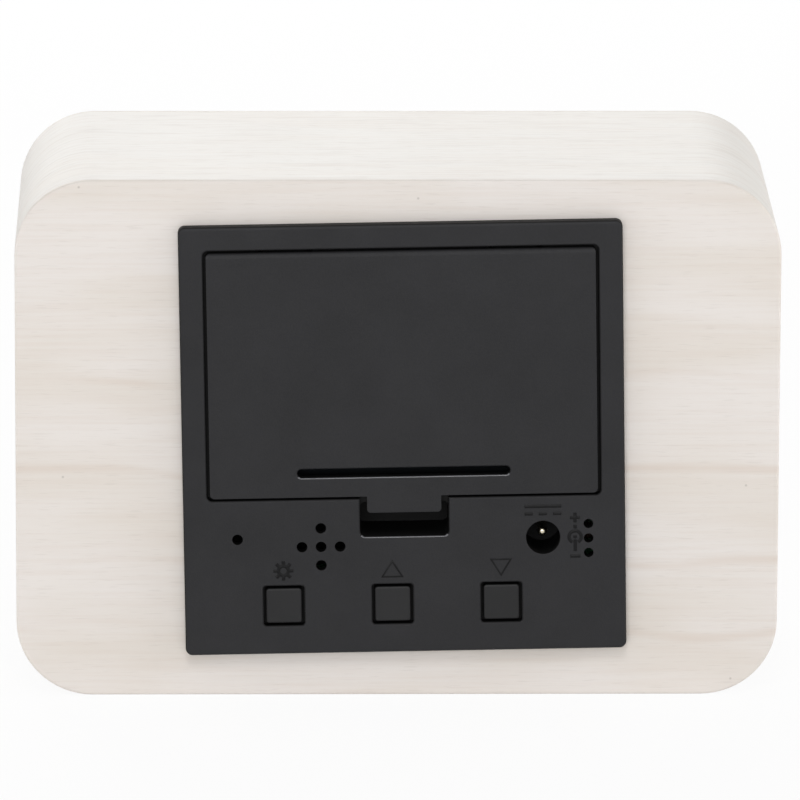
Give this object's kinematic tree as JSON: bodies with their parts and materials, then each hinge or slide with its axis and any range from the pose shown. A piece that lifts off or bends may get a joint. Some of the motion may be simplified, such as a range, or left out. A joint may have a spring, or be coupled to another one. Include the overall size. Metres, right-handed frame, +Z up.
{
  "type": "wooden digital clock",
  "caption": "Rounded wooden desk clock whose LED digits shine through the veneer, with a black rear panel that holds a hinged battery lid, push buttons and a DC inlet.",
  "frame": {"origin": "centre of the base under the whole clock, on the surface that it stands on", "axes": "+Z up; +X along the width, to the right for someone facing the display; the display faces -Y and the service panel +Y"},
  "size_m": [0.1, 0.0468, 0.0692],
  "materials": {
    "whitewashed_veneer": "matte, whitewashed",
    "fibreboard": "raw",
    "black_abs": "fine spark texture",
    "button_abs": "satin",
    "foam_tape": "matte",
    "cell_steel": "satin",
    "cell_jacket": "gloss",
    "nickel_plate": "bright",
    "circuit_board": "satin",
    "black_nylon": "matte",
    "brass_pin": "bright",
    "steel_screw": "satin",
    "aluminium_can": "satin",
    "white_plastic": "matte",
    "diffuser_film": "frosted",
    "led_body": "gloss",
    "epoxy_bead": "gloss",
    "grey_ribbon": "satin",
    "red_wire": "satin",
    "black_wire": "satin"
  },
  "bodies": {
    "case": {"body_core": "fibreboard", "edge_veneer": "whitewashed_veneer", "base_veneer": "whitewashed_veneer", "front_veneer": "whitewashed_veneer", "back_veneer": "whitewashed_veneer", "panel_adhesive": "foam_tape", "rear_panel": "black_abs", "switch_bases": "black_nylon", "control_board": "circuit_board", "control_screws": "steel_screw", "dc_jack_housing": "black_nylon", "dc_jack_pin": "brass_pin", "buzzer": "black_nylon", "microphone": "aluminium_can", "thermistor": "epoxy_bead", "smoothing_capacitor": "aluminium_can", "battery_cells": "cell_steel", "cell_jackets": "cell_jacket", "positive_contact": "nickel_plate", "negative_contact": "nickel_plate", "contact_bridge_1": "nickel_plate", "contact_bridge_2": "nickel_plate", "battery_springs": "nickel_plate", "display_diffuser": "diffuser_film", "display_reflector": "white_plastic", "segment_leds": "led_body", "display_board": "circuit_board", "display_screws": "steel_screw", "controller_chip": "black_nylon", "chip_leads": "nickel_plate", "crystal": "aluminium_can", "coin_cell_holder": "black_nylon", "coin_cell": "cell_steel", "control_header": "white_plastic", "display_header": "white_plastic", "ribbon_cable": "grey_ribbon", "red_lead": "red_wire", "black_lead": "black_wire"},
    "lid": {"battery_lid": "black_abs"},
    "set_key": {"set_button": "button_abs", "set_plunger": "black_nylon"},
    "up_key": {"up_button": "button_abs", "up_plunger": "black_nylon"},
    "down_key": {"down_button": "button_abs", "down_plunger": "black_nylon"}
  },
  "joints": [
    {"name": "lid_hinge", "type": "hinge", "parent": "case", "child": "lid", "pos_m": [-0.00027, 0.02262, 0.05949], "axis": [0.9998, 0, -0.0175], "range_deg": [0, 75]},
    {"name": "set_press", "type": "slide", "parent": "case", "child": "set_key", "axis": [0, -1, 0], "range_m": [0, 0.0004], "stiffness_N_per_m": 1000},
    {"name": "up_press", "type": "slide", "parent": "case", "child": "up_key", "axis": [0, -1, 0], "range_m": [0, 0.0004], "stiffness_N_per_m": 1000},
    {"name": "down_press", "type": "slide", "parent": "case", "child": "down_key", "axis": [0, -1, 0], "range_m": [0, 0.0004], "stiffness_N_per_m": 1000}
  ]
}
